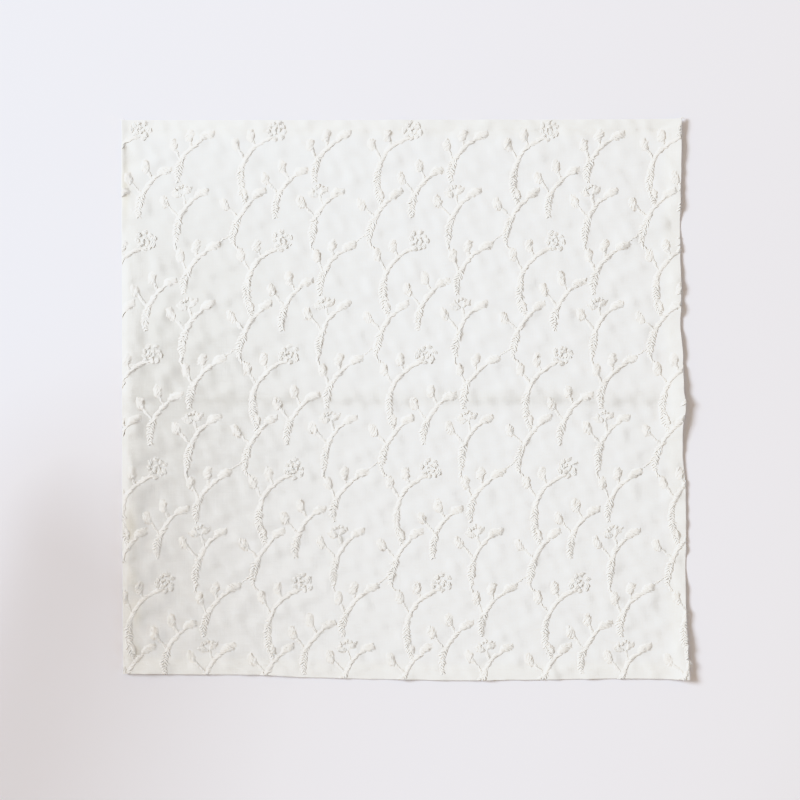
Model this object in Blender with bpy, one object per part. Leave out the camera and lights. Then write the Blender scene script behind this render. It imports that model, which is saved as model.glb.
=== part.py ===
"""A square linen handkerchief with a narrow hem and all-over white embroidery, lying flat.

Lengths in this script are millimetres until the last step, which scales the mesh to metres. +Z is up,
the underside rests on z = 0, and the middle of the cloth is at the origin.
"""

import math
from collections import namedtuple

import bmesh
import bpy
from mathutils import Vector
from mathutils.geometry import delaunay_2d_cdt

MM = 0.001

# Thicknesses and heights of the cloth.
CLOTH_THICK = 1.4
HEM_WIDTH = 8.3
HEM_RISE = 0.4
HEM_STEP = 1.0
FLAT_UNDER = 0.02

# How far in from each edge its lift fades out. The left edge is rolled, so its lift holds a little way in.
RIGHT_REACH = 20.0
LEFT_ROLL = 2.2
LEFT_REACH = 6.0
TOP_REACH = 10.0
BOTTOM_REACH = 12.0

# Each edge as it lies: a place along it, how far out it is there, and how high it lifts.
Edge = namedtuple("Edge", "along out lift")
RIGHT_EDGE = (
    Edge(-199.0, 201.9, 4.6),
    Edge(-175.0, 200.8, 3.4),
    Edge(-146.0, 199.4, 1.4),
    Edge(-118.0, 199.3, 0.0),
    Edge(-90.0, 199.7, 1.2),
    Edge(-62.0, 199.4, 1.5),
    Edge(-34.0, 197.2, 1.5),
    Edge(-18.0, 197.0, 4.0),
    Edge(-4.0, 199.0, 4.6),
    Edge(10.0, 197.7, 3.2),
    Edge(30.0, 197.4, 1.8),
    Edge(54.0, 195.6, 1.6),
    Edge(80.0, 196.2, 2.8),
    Edge(100.0, 195.5, 1.8),
    Edge(124.0, 195.4, 0.0),
    Edge(140.0, 195.6, 2.8),
    Edge(165.0, 196.1, 2.6),
    Edge(199.7, 196.2, 2.8),
)
LEFT_EDGE = (
    Edge(-194.8, -200.8, 2.2),
    Edge(-170.0, -201.0, 0.6),
    Edge(-130.0, -201.2, 0.5),
    Edge(-95.0, -201.4, 1.6),
    Edge(-60.0, -201.5, 1.7),
    Edge(-20.0, -201.6, 0.6),
    Edge(40.0, -201.7, 0.9),
    Edge(110.0, -201.9, 0.8),
    Edge(135.0, -201.9, 2.4),
    Edge(165.0, -201.9, 1.2),
    Edge(198.8, -201.9, 1.0),
)
TOP_EDGE = (
    Edge(-201.9, 198.8, 1.0),
    Edge(-168.0, 199.0, 0.0),
    Edge(-70.0, 199.0, 0.7),
    Edge(-58.0, 199.0, 0.0),
    Edge(26.0, 199.2, 1.0),
    Edge(38.0, 199.2, 0.0),
    Edge(72.0, 199.3, 1.0),
    Edge(84.0, 199.3, 0.0),
    Edge(160.0, 199.5, 0.6),
    Edge(196.2, 199.7, 2.8),
)
BOTTOM_EDGE = (
    Edge(-200.8, -194.8, 2.2),
    Edge(-182.0, -194.9, 2.6),
    Edge(-155.0, -195.4, 0.0),
    Edge(-110.0, -195.6, 0.0),
    Edge(-60.0, -197.8, 0.5),
    Edge(-20.0, -198.8, 0.0),
    Edge(40.0, -199.7, 0.6),
    Edge(80.0, -199.3, 0.0),
    Edge(158.0, -197.9, 0.0),
    Edge(185.0, -198.6, 1.2),
    Edge(201.9, -199.0, 4.6),
)

# The crease where the cloth had been folded in half: a low ridge across it.
CREASE_LEFT_Y = 1.2
CREASE_RIGHT_Y = -1.0
CREASE_RISE = 0.9
CREASE_ABOVE = 8.0
CREASE_BELOW = 3.0

# Soft puckers between the sprigs: the middle, half the length and width, the turn of the long axis
# from +X in degrees, and the height, which is below zero for a trough.
Pucker = namedtuple("Pucker", "x y half_length half_width turn height")
PUCKERS = (
    Pucker(-186.0, 96.0, 13.0, 5.0, 80.0, -0.4),
    Pucker(-176.0, 96.0, 14.0, 5.0, 78.0, 0.6),
    Pucker(-184.0, 60.0, 13.0, 5.0, 75.0, -0.4),
    Pucker(-173.0, 60.0, 14.0, 5.0, 72.0, 0.7),
    Pucker(-184.0, 14.0, 12.0, 5.0, 70.0, -0.4),
    Pucker(-172.0, 16.0, 13.0, 5.0, 70.0, 0.7),
    Pucker(-172.0, -10.0, 16.0, 4.0, 40.0, -0.4),
    Pucker(-178.0, 168.0, 16.0, 4.5, 32.0, 0.6),
    Pucker(-188.0, -64.0, 14.0, 6.0, 85.0, 0.5),
    Pucker(-174.0, -104.0, 14.0, 5.0, 60.0, 0.5),
    Pucker(-188.0, -154.0, 13.0, 6.0, 75.0, 0.5),
    Pucker(139.0, 52.0, 11.0, 6.0, 70.0, -0.4),
    Pucker(181.0, 48.0, 13.0, 5.0, 78.0, -0.4),
    Pucker(156.0, 108.0, 12.0, 6.0, 50.0, 0.5),
    Pucker(161.0, -154.0, 13.0, 6.0, 60.0, 0.5),
    Pucker(40.0, 24.0, 18.0, 8.0, 10.0, 0.5),
    Pucker(-70.0, 22.0, 18.0, 8.0, 5.0, 0.5),
)

# The rows of the embroidery as the cloth lies: where the first blossom of a row is, and the pitch along it.
Row = namedtuple("Row", "start pitch height")
ROWS = (
    Row(-193.1, 97.1, 270.0),
    Row(-189.0, 97.1, 191.4),
    Row(-184.8, 96.9, 113.0),
    Row(-180.5, 97.3, 31.9),
    Row(-176.9, 97.3, -48.8),
    Row(-171.2, 98.3, -130.5),
    Row(-166.0, 99.0, -212.0),
)
CHART_PITCH = 97.2
CHART_DROP = 80.6
CHART_SLANT = 4.0
COLUMNS = range(-1, 5)
REPEAT_ROWS = range(len(ROWS) - 2)

# One repeat of the embroidery, from its blossom's middle. A sprig's stem is a cubic from its base to its
# end, where a leaf goes on to its tip.
Sprig = namedtuple("Sprig", "name base lean bend end leaf_tip")
SPRIGS = (
    Sprig("blossom", (-21.6, -54.0), (-30.0, -34.0), (-26.0, -15.0), (-3.6, -5.0), None),
    Sprig("left", (-31.3, -81.2), (-30.8, -68.2), (-24.1, -57.6), (-17.1, -50.6), (-7.8, -42.0)),
    Sprig("middle", (-0.7, -62.7), (-3.5, -50.0), (5.4, -39.5), (11.4, -33.5), (22.0, -26.3)),
    Sprig("right", (27.3, -37.0), (25.0, -24.0), (34.0, -14.0), (42.7, -7.5), (60.0, 4.6)),
    Sprig("fan", (25.6, -81.2), (24.6, -68.0), (31.0, -55.0), (38.4, -49.6), (47.0, -43.4)),
)

# The side twigs: the sprig that each leaves, how far along its stem, and the middle of the bud.
Twig = namedtuple("Twig", "sprig along bud_x bud_y")
TWIGS = (
    Twig("blossom", 0.80, -17.8, -3.6),
    Twig("blossom", 0.58, -29.4, -10.0),
    Twig("left", 0.50, -37.0, -54.0),
    Twig("middle", 0.86, 4.3, -26.3),
    Twig("middle", 0.45, -7.8, -34.9),
    Twig("right", 0.75, 35.6, -3.6),
    Twig("right", 0.40, 24.2, -10.6),
    Twig("fan", 0.45, 17.8, -52.0),
)

# Half widths and heights of the stitching. A stem's round end takes a little over its half width, and a leaf
# or bud is widest at a share of its length.
STEM_SPACING = 13.5
STEM_LAST = 0.95
ROUND_END = 1.1
THICK_UNTIL = 0.5
THICK_HALF = 2.3
THIN_HALF = 1.3
STEM_RISE = 0.9
TWIG_HALF = 1.0
TWIG_RISE = 0.7
WIDEST_AT = 0.5
LEAF_LENGTH = 12.0
LEAF_HALF = 3.0
LEAF_RISE = 1.1
BUD_LENGTH = 8.4
BUD_HALF = 2.6
BUD_RISE = 1.0

# The blossom head, and the half-open flower under the right sprig.
BLOSSOM_PETALS = 7
BLOSSOM_TIP_RADIUS = 7.2
BLOSSOM_NOTCH_RADIUS = 4.4
BLOSSOM_DOT_RADIUS = 5.4
BLOSSOM_RISE = 1.2
BLOSSOM_DOME = 3.0
FAN_FOOT = (30.5, -47.5)
FAN_ANGLES = (158.0, 122.0, 86.0, 50.0, 20.0)
FAN_LENGTH = 8.6
FAN_HALF = 1.5
FAN_RISE = 1.0
FAN_STEM_FOOT = (32.4, -55.0)

# Spacing of the points that carry the cloth between the stitching.
EDGE_SPACING = 15.0
GROUND_SPACING = 19.0
CLEAR_OF_HEM = 4.75
CLEAR_OF_STITCHING = 3.0
MERGE_WITHIN = 0.3
UNDER_SPACING = 80.0
UNDER_INSETS = (0.0, 2.2, 6.0, 10.0, 15.0, 20.0)

LINEN_COLOUR = (0.83, 0.82, 0.79, 1.0)
LINEN_ROUGHNESS = 0.9

# A place as one edge has it: how far in it lies, the edge's lift, and where the lift starts to fade and ends.
Beside = namedtuple("Beside", "distance lift roll reach")

# A place on a stroke of stitching: its half width, its height, and whether the ridge line has a point there.
Station = namedtuple("Station", "x y half rise ridge", defaults=(True,))


def smooth(t):
    """Ease from 0 to 1 with level ends."""
    t = min(1.0, max(0.0, t))
    return t * t * (3.0 - 2.0 * t)


def mix(a, b, t):
    return a + (b - a) * t


def edge_at(edge, along):
    """How far out an edge lies, and how high, at a place along it."""
    for low, high in zip(edge, edge[1:]):
        if along <= high.along:
            t = smooth((along - low.along) / (high.along - low.along))
            return mix(low.out, high.out, t), mix(low.lift, high.lift, t)
    return edge[-1].out, edge[-1].lift


def inward(x, y):
    """For each edge, how far in from it a place lies, the edge's lift there, and where the lift fades."""
    right, right_lift = edge_at(RIGHT_EDGE, y)
    left, left_lift = edge_at(LEFT_EDGE, y)
    top, top_lift = edge_at(TOP_EDGE, x)
    bottom, bottom_lift = edge_at(BOTTOM_EDGE, x)
    return (
        Beside(right - x, right_lift, 0.0, RIGHT_REACH),
        Beside(x - left, left_lift, LEFT_ROLL, LEFT_REACH),
        Beside(top - y, top_lift, 0.0, TOP_REACH),
        Beside(y - bottom, bottom_lift, 0.0, BOTTOM_REACH),
    )


def depth_in(x, y):
    return min(beside.distance for beside in inward(x, y))


def underside(x, y):
    """Height of the cloth's underside: level with the table, but for its lifted edges."""
    height = 0.0
    for beside in inward(x, y):
        faded = smooth((beside.distance - beside.roll) / (beside.reach - beside.roll))
        height = max(height, beside.lift * (1.0 - faded))
    return height if height > FLAT_UNDER else 0.0


def crease_line(x):
    return mix(CREASE_LEFT_Y, CREASE_RIGHT_Y, (x - LEFT_EDGE[0].out) / (RIGHT_EDGE[0].out - LEFT_EDGE[0].out))


def crease(x, y):
    above = y - crease_line(x)
    width = CREASE_ABOVE if above > 0.0 else CREASE_BELOW
    return CREASE_RISE * (1.0 - smooth(abs(above) / width))


def pucker(x, y):
    total = 0.0
    for bump in PUCKERS:
        turn = math.radians(bump.turn)
        dx = x - bump.x
        dy = y - bump.y
        long = (dx * math.cos(turn) + dy * math.sin(turn)) / bump.half_length
        across = (dy * math.cos(turn) - dx * math.sin(turn)) / bump.half_width
        total += bump.height * math.exp(-(long * long + across * across))
    return total


def ground(x, y):
    """Height of the cloth's upper face without its stitching."""
    hem = HEM_RISE * smooth((HEM_WIDTH + HEM_STEP / 2.0 - depth_in(x, y)) / HEM_STEP)
    return underside(x, y) + CLOTH_THICK + hem + crease(x, y) + pucker(x, y)


def place(column, row, x, y):
    """Where a point of the chart lies in one repeat, on the cloth as it lies."""
    down = row - y / CHART_DROP
    across = column + (x - CHART_SLANT * (down - row)) / CHART_PITCH
    index = min(max(int(math.floor(down)) + 1, 0), len(ROWS) - 2)
    t = down + 1.0 - index
    above = ROWS[index]
    below = ROWS[index + 1]
    start = mix(above.start, below.start, t)
    pitch = mix(above.pitch, below.pitch, t)
    return start + pitch * across, mix(above.height, below.height, t)


def stem_point(sprig, t):
    weights = ((1 - t) ** 3, 3 * (1 - t) ** 2 * t, 3 * (1 - t) * t * t, t ** 3)
    handles = (sprig.base, sprig.lean, sprig.bend, sprig.end)
    x = sum(weight * handle[0] for weight, handle in zip(weights, handles))
    y = sum(weight * handle[1] for weight, handle in zip(weights, handles))
    return x, y


def leaf_stations(foot, tip, length, half, rise):
    """A leaf or bud along a line: its widest place, and its point."""
    reach = math.dist(foot, tip)
    ux = (tip[0] - foot[0]) / reach
    uy = (tip[1] - foot[1]) / reach
    to_widest = length * WIDEST_AT
    widest = Station(foot[0] + ux * to_widest, foot[1] + uy * to_widest, half, rise)
    point = Station(foot[0] + ux * length, foot[1] + uy * length, 0.0, 0.0)
    return [widest, point]


def stem_places(sprig):
    """Even steps along a stem, from where its round end has its full width.

    A cubic sets out at three times the distance to its first handle for each whole step.
    """
    handles = (sprig.base, sprig.lean, sprig.bend, sprig.end)
    lengths = [math.dist(a, b) for a, b in zip(handles, handles[1:])]
    first = ROUND_END * THICK_HALF / (3.0 * lengths[0])
    count = round(sum(lengths) / STEM_SPACING)
    return [mix(first, STEM_LAST, index / count) for index in range(count + 1)]


def sprig_stroke(sprig):
    """One sprig's stem, thick in its lower part, with its leaf."""
    stations = [Station(sprig.base[0], sprig.base[1], 0.0, 0.0)]
    for t in stem_places(sprig):
        x, y = stem_point(sprig, t)
        half = THICK_HALF if t < THICK_UNTIL else THIN_HALF
        stations.append(Station(x, y, half, STEM_RISE))
    if sprig.leaf_tip:
        stations += leaf_stations(sprig.end, sprig.leaf_tip, LEAF_LENGTH, LEAF_HALF, LEAF_RISE)
    else:
        stations.append(Station(sprig.end[0], sprig.end[1], 0.0, 0.0))
    return stations


def twig_stroke(twig):
    """One side twig with its bud."""
    sprig = next(sprig for sprig in SPRIGS if sprig.name == twig.sprig)
    foot = stem_point(sprig, twig.along)
    reach = math.dist(foot, (twig.bud_x, twig.bud_y))
    ux = (twig.bud_x - foot[0]) / reach
    uy = (twig.bud_y - foot[1]) / reach
    neck = (twig.bud_x - ux * BUD_LENGTH / 2.0, twig.bud_y - uy * BUD_LENGTH / 2.0)
    tip = (twig.bud_x + ux * BUD_LENGTH / 2.0, twig.bud_y + uy * BUD_LENGTH / 2.0)
    start = Station(foot[0], foot[1], 0.0, 0.0)
    narrow = Station(neck[0], neck[1], TWIG_HALF, TWIG_RISE, False)
    return [start, narrow] + leaf_stations(neck, tip, BUD_LENGTH, BUD_HALF, BUD_RISE)


def fan_strokes():
    """The half-open flower: its petals, and the short stem that carries it."""
    strokes = []
    for angle in FAN_ANGLES:
        turn = math.radians(angle)
        tip = (FAN_FOOT[0] + math.cos(turn) * FAN_LENGTH, FAN_FOOT[1] + math.sin(turn) * FAN_LENGTH)
        foot = Station(FAN_FOOT[0], FAN_FOOT[1], 0.0, 0.0)
        strokes.append([foot] + leaf_stations(FAN_FOOT, tip, FAN_LENGTH, FAN_HALF, FAN_RISE))
    middle = Station(
        mix(FAN_FOOT[0], FAN_STEM_FOOT[0], 0.5), mix(FAN_FOOT[1], FAN_STEM_FOOT[1], 0.5), TWIG_HALF, TWIG_RISE
    )
    ends = [Station(x, y, 0.0, 0.0) for x, y in (FAN_FOOT, FAN_STEM_FOOT)]
    strokes.append([ends[0], middle, ends[1]])
    return strokes


def all_strokes():
    """Every stroke of the stitching, placed on the cloth."""
    chart = [sprig_stroke(sprig) for sprig in SPRIGS]
    chart += [twig_stroke(twig) for twig in TWIGS]
    chart += fan_strokes()
    strokes = []
    for row in REPEAT_ROWS:
        for column in COLUMNS:
            for stroke in chart:
                placed = [place(column, row, s.x, s.y) for s in stroke]
                if any(depth_in(x, y) > 0.0 for x, y in placed):
                    strokes.append([s._replace(x=x, y=y) for s, (x, y) in zip(stroke, placed)])
    return strokes


def all_blossoms():
    """The middle of every blossom that lies on the cloth."""
    middles = [place(column, row, 0.0, 0.0) for row in REPEAT_ROWS for column in COLUMNS]
    return [middle for middle in middles if depth_in(*middle) > 0.0]


def blossom_outline(middle):
    points = []
    for step in range(2 * BLOSSOM_PETALS):
        radius = BLOSSOM_NOTCH_RADIUS if step % 2 else BLOSSOM_TIP_RADIUS
        angle = math.pi * step / BLOSSOM_PETALS
        points.append((middle[0] + radius * math.cos(angle), middle[1] + radius * math.sin(angle)))
    return points


def blossom_rise(middle, x, y):
    """Height of a blossom's stitching at a place: highest round its ring of petals."""
    dx = x - middle[0]
    dy = y - middle[1]
    wave = 0.5 + 0.5 * math.cos(BLOSSOM_PETALS * math.atan2(dy, dx))
    radius = mix(BLOSSOM_NOTCH_RADIUS, BLOSSOM_TIP_RADIUS, wave)
    return BLOSSOM_RISE * max(0.0, 1.0 - (math.hypot(dx, dy) / radius) ** BLOSSOM_DOME)


def stroke_rise(stroke, x, y):
    """Height of a stroke's stitching at a place: rounded across, and level with the cloth at its sides."""
    highest = 0.0
    for a, b in zip(stroke, stroke[1:]):
        length = math.dist((a.x, a.y), (b.x, b.y))
        t = ((x - a.x) * (b.x - a.x) + (y - a.y) * (b.y - a.y)) / (length * length)
        t = min(1.0, max(0.0, t))
        half = mix(a.half, b.half, t)
        away = math.dist((x, y), (mix(a.x, b.x, t), mix(a.y, b.y, t)))
        if away < half:
            highest = max(highest, mix(a.rise, b.rise, t) * (1.0 - (away / half) ** 2))
    return highest


def stroke_sides(stroke):
    """The two side lines of a stroke, which meet at its ends."""
    left = []
    right = []
    for index, station in enumerate(stroke):
        before = stroke[max(index - 1, 0)]
        after = stroke[min(index + 1, len(stroke) - 1)]
        length = math.dist((before.x, before.y), (after.x, after.y))
        nx = (before.y - after.y) / length * station.half
        ny = (after.x - before.x) / length * station.half
        left.append((station.x + nx, station.y + ny))
        right.append((station.x - nx, station.y - ny))
    return left, right


def steps(low, high, spacing):
    count = max(1, round((high - low) / spacing))
    return [mix(low, high, index / count) for index in range(count + 1)]


def inset_loop(inset):
    """The cloth's outline, seen from above and moved in by a distance, anticlockwise from its lower left."""
    low_y = BOTTOM_EDGE[0].out + inset
    high_y = TOP_EDGE[-1].out - inset
    low_x = LEFT_EDGE[0].out + inset
    loop = []
    for x in steps(low_x, BOTTOM_EDGE[-1].along - inset, EDGE_SPACING)[:-1]:
        loop.append((x, edge_at(BOTTOM_EDGE, x)[0] + inset))
    for y in steps(BOTTOM_EDGE[-1].out + inset, high_y, EDGE_SPACING)[:-1]:
        loop.append((edge_at(RIGHT_EDGE, y)[0] - inset, y))
    for x in steps(LEFT_EDGE[-1].out + inset, TOP_EDGE[-1].along - inset, EDGE_SPACING)[:0:-1]:
        loop.append((x, edge_at(TOP_EDGE, x)[0] - inset))
    for y in steps(low_y, TOP_EDGE[0].out - inset, EDGE_SPACING)[:0:-1]:
        loop.append((edge_at(LEFT_EDGE, y)[0] + inset, y))
    return loop


class Net:
    """Points and lines that the triangles have to keep."""

    def __init__(self):
        self.points = []
        self.lines = []

    def add_point(self, point):
        self.points.append(Vector(point))

    def add_line(self, line, closed=False):
        first = len(self.points)
        for point in line:
            self.add_point(point)
        for index in range(len(line) - 1):
            self.lines.append((first + index, first + index + 1))
        if closed:
            self.lines.append((len(self.points) - 1, first))

    def triangles(self, outline, merge):
        """Triangles inside the outline, as points, index triples, and each point's first source."""
        first = len(self.points)
        for point in outline:
            self.add_point(point)
        face = [list(range(first, len(self.points)))]
        result = delaunay_2d_cdt(self.points, self.lines, face, 0, merge, True)
        points, faces, point_sources, face_sources = result[0], result[2], result[3], result[5]
        kept = [corners for corners, source in zip(faces, face_sources) if source]
        return points, kept, [min(source, default=-1) - first for source in point_sources]


def top_net(strokes, blossoms):
    """Lines of the hem, the crease, the stitching, and points between them."""
    net = Net()
    net.add_line(inset_loop(HEM_WIDTH - HEM_STEP / 2.0), closed=True)
    net.add_line(inset_loop(HEM_WIDTH + HEM_STEP / 2.0), closed=True)
    for inset in (LEFT_ROLL, LEFT_REACH):
        rows = steps(LEFT_EDGE[0].along + inset, LEFT_EDGE[-1].along - inset, EDGE_SPACING)
        net.add_line([(edge_at(LEFT_EDGE, y)[0] + inset, y) for y in rows])
    for above in (CREASE_ABOVE, 0.0, -CREASE_BELOW):
        net.add_line([(x, crease_line(x) + above) for x in (LEFT_EDGE[0].out, RIGHT_EDGE[0].out)])
    for stroke in strokes:
        left, right = stroke_sides(stroke)
        net.add_line(left)
        net.add_line([(s.x, s.y) for s in stroke if s.ridge])
        net.add_line(right)
    for middle in blossoms:
        net.add_line(blossom_outline(middle), closed=True)
        net.add_point(middle)
        for petal in range(BLOSSOM_PETALS):
            angle = 2.0 * math.pi * petal / BLOSSOM_PETALS
            dot_x = middle[0] + BLOSSOM_DOT_RADIUS * math.cos(angle)
            dot_y = middle[1] + BLOSSOM_DOT_RADIUS * math.sin(angle)
            net.add_point((dot_x, dot_y))
    for x, y in ground_points():
        if not near_stitching(x, y, strokes, blossoms):
            net.add_point((x, y))
    return net


def ground_points():
    """Places between the sprigs where the cloth's own height is kept."""
    low = LEFT_EDGE[0].out
    high = RIGHT_EDGE[0].out
    for line, y in enumerate(steps(low, high, GROUND_SPACING)):
        shift = GROUND_SPACING / 2.0 if line % 2 else 0.0
        for x in steps(low, high, GROUND_SPACING):
            off_crease = abs(y - crease_line(x)) > CREASE_ABOVE + CREASE_BELOW
            if off_crease and depth_in(x + shift, y) > HEM_WIDTH + CLEAR_OF_HEM:
                yield x + shift, y


def near_stitching(x, y, strokes, blossoms):
    for stroke in strokes:
        for a, b in zip(stroke, stroke[1:]):
            reach = max(a.half, b.half) + CLEAR_OF_STITCHING
            inside_x = min(a.x, b.x) - reach < x < max(a.x, b.x) + reach
            if inside_x and min(a.y, b.y) - reach < y < max(a.y, b.y) + reach:
                return True
    return any(math.dist((x, y), m) < BLOSSOM_TIP_RADIUS + CLEAR_OF_STITCHING for m in blossoms)


def stitching_rise(x, y, strokes, blossoms):
    """Height of the highest stitching at a place."""
    rises = [0.0]
    for stroke in strokes:
        inside_x = min(s.x for s in stroke) - LEAF_HALF < x < max(s.x for s in stroke) + LEAF_HALF
        if inside_x and min(s.y for s in stroke) - LEAF_HALF < y < max(s.y for s in stroke) + LEAF_HALF:
            rises.append(stroke_rise(stroke, x, y))
    for middle in blossoms:
        if math.dist((x, y), middle) < BLOSSOM_TIP_RADIUS:
            rises.append(blossom_rise(middle, x, y))
    return max(rises)


def under_net():
    """Points of the underside: few where it is level, and more beside an edge that lifts."""
    net = Net()
    for x in steps(LEFT_EDGE[0].out, RIGHT_EDGE[0].out, UNDER_SPACING)[1:-1]:
        for y in steps(BOTTOM_EDGE[0].out, TOP_EDGE[0].out, UNDER_SPACING)[1:-1]:
            net.add_point((x, y))
    for outer, inset in zip(UNDER_INSETS, UNDER_INSETS[1:]):
        for x, y in inset_loop(inset):
            near = [beside for beside in inward(x, y) if beside.distance < inset + MERGE_WITHIN]
            if any(beside.lift > FLAT_UNDER and beside.reach > outer for beside in near):
                net.add_point((x, y))
    return net


def rim_loop(bm):
    """The open edge of the upper face, as its points in order."""
    loops = {}
    for edge in bm.edges:
        if edge.is_boundary:
            loop = edge.link_loops[0]
            loops[loop.vert] = loop.link_loop_next.vert
    start = next(iter(loops))
    rim = [start]
    while loops[rim[-1]] is not start:
        rim.append(loops[rim[-1]])
    return rim


def build_cloth():
    """The whole cloth as one closed mesh."""
    strokes = all_strokes()
    blossoms = all_blossoms()
    bm = bmesh.new()

    points, triangles = top_net(strokes, blossoms).triangles(inset_loop(0.0), MERGE_WITHIN)[:2]
    used = sorted({corner for corners in triangles for corner in corners})
    top = {}
    for index in used:
        x, y = points[index]
        top[index] = bm.verts.new((x, y, ground(x, y) + stitching_rise(x, y, strokes, blossoms)))
    for corners in triangles:
        bm.faces.new([top[corner] for corner in corners])

    rim = rim_loop(bm)
    lower_rim = [bm.verts.new((v.co.x, v.co.y, underside(v.co.x, v.co.y))) for v in rim]
    for index, upper in enumerate(rim):
        after = (index + 1) % len(rim)
        bm.faces.new((rim[after], upper, lower_rim[index], lower_rim[after]))

    outline = [(v.co.x, v.co.y) for v in rim]
    points, triangles, sources = under_net().triangles(outline, 0.0)
    under = {}
    for index in sorted({corner for corners in triangles for corner in corners}):
        if sources[index] >= 0:
            under[index] = lower_rim[sources[index]]
        else:
            x, y = points[index]
            under[index] = bm.verts.new((x, y, underside(x, y)))
    for corners in triangles:
        bm.faces.new([under[corner] for corner in reversed(corners)])

    bmesh.ops.triangulate(bm, faces=bm.faces[:])
    bmesh.ops.scale(bm, vec=(MM, MM, MM), verts=bm.verts[:])
    mesh = bpy.data.meshes.new("handkerchief")
    bm.to_mesh(mesh)
    bm.free()
    mesh.shade_smooth()
    return mesh


def linen():
    material = bpy.data.materials.new("white_linen")
    material.use_nodes = True
    shader = material.node_tree.nodes["Principled BSDF"]
    shader.inputs["Base Color"].default_value = LINEN_COLOUR
    shader.inputs["Roughness"].default_value = LINEN_ROUGHNESS
    shader.inputs["Metallic"].default_value = 0.0
    return material


def main():
    for old in list(bpy.data.objects):
        bpy.data.objects.remove(old)
    collection = bpy.data.collections.new("linen_handkerchief")
    bpy.context.scene.collection.children.link(collection)
    cloth = bpy.data.objects.new("handkerchief", build_cloth())
    cloth.data.materials.append(linen())
    collection.objects.link(cloth)


main()
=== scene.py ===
"""The looks of a white linen handkerchief: woven cloth with a turned hem, and every stitch of its sprigs.

Lengths are millimetres in the tables and while a piece is made, and each piece is scaled to metres when it
is finished. +X is right and +Y is up in the photograph.
The cloth lies on z = 0, and its middle is the origin.
"""

import math
from collections import namedtuple

import bpy
import numpy as np
from mathutils import Matrix, Vector


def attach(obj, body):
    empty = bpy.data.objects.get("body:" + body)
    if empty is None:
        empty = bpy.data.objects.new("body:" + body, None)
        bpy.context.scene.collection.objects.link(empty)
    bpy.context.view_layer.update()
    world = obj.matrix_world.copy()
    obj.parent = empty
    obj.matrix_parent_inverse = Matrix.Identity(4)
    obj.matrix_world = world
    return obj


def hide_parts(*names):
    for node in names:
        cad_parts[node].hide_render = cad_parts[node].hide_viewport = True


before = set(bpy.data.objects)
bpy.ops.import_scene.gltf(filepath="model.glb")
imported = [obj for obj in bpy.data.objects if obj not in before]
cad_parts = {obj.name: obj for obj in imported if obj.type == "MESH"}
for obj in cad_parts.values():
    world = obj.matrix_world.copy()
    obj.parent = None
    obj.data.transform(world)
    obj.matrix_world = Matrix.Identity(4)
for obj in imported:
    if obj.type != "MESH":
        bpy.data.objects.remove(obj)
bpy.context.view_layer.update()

MM = 0.001
BODY = "root"
CLOTH_NODE = "handkerchief"

# The cloth: one layer of linen, and the hem, which is three.
LAYER = 0.5
HEM_WIDTH = 8.3
HEM_RISE = 0.35
HEM_STEP = 7.0
HEM_SEAM_INSET = 7.2

# Each edge as it lies: a place along it, how far out it is there, and how high it lifts off the table. The
# very rim has only a share of the lift, which is whole at the depth of the roll and faded out by the reach.
Knot = namedtuple("Knot", "along out lift")
Edge = namedtuple("Edge", "rim roll reach knots")
RIGHT_EDGE = Edge(1.0, 0.1, 20.0, (
    Knot(-199.0, 201.9, 4.6),
    Knot(-175.0, 200.8, 3.4),
    Knot(-146.0, 199.4, 1.4),
    Knot(-118.0, 199.3, 0.0),
    Knot(-90.0, 199.7, 0.8),
    Knot(-62.0, 199.4, 1.0),
    Knot(-34.0, 197.2, 1.2),
    Knot(-18.0, 197.0, 4.0),
    Knot(-4.0, 199.0, 4.6),
    Knot(10.0, 197.7, 3.2),
    Knot(30.0, 197.4, 1.4),
    Knot(54.0, 195.6, 1.2),
    Knot(80.0, 196.2, 2.1),
    Knot(100.0, 195.5, 1.3),
    Knot(124.0, 195.4, 0.0),
    Knot(140.0, 195.6, 2.4),
    Knot(165.0, 196.1, 2.3),
    Knot(199.7, 196.2, 2.8),
))
LEFT_EDGE = Edge(0.2, 4.5, 18.0, (
    Knot(-194.8, -200.8, 1.6),
    Knot(-170.0, -201.0, 1.0),
    Knot(-130.0, -201.2, 1.2),
    Knot(-95.0, -201.4, 1.4),
    Knot(-60.0, -201.5, 1.8),
    Knot(-20.0, -201.6, 1.6),
    Knot(40.0, -201.7, 1.7),
    Knot(110.0, -201.9, 1.0),
    Knot(135.0, -201.9, 0.3),
    Knot(165.0, -201.9, 0.0),
    Knot(198.8, -201.9, 0.0),
))
TOP_EDGE = Edge(1.0, 0.1, 10.0, (
    Knot(-201.9, 198.8, 1.0),
    Knot(-168.0, 199.0, 0.0),
    Knot(-70.0, 199.0, 0.7),
    Knot(-58.0, 199.0, 0.0),
    Knot(26.0, 199.2, 1.0),
    Knot(38.0, 199.2, 0.0),
    Knot(72.0, 199.3, 1.0),
    Knot(84.0, 199.3, 0.0),
    Knot(160.0, 199.5, 0.6),
    Knot(196.2, 199.7, 2.8),
))
BOTTOM_EDGE = Edge(1.0, 0.1, 12.0, (
    Knot(-200.8, -194.8, 2.2),
    Knot(-182.0, -194.9, 2.6),
    Knot(-155.0, -195.4, 1.0),
    Knot(-110.0, -195.6, 1.2),
    Knot(-60.0, -197.8, 0.9),
    Knot(-20.0, -198.8, 0.6),
    Knot(40.0, -199.7, 1.2),
    Knot(80.0, -199.3, 0.7),
    Knot(158.0, -198.4, 0.6),
    Knot(185.0, -198.6, 1.2),
    Knot(201.9, -199.0, 4.6),
))
EDGES = (RIGHT_EDGE, LEFT_EDGE, TOP_EDGE, BOTTOM_EDGE)

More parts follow.
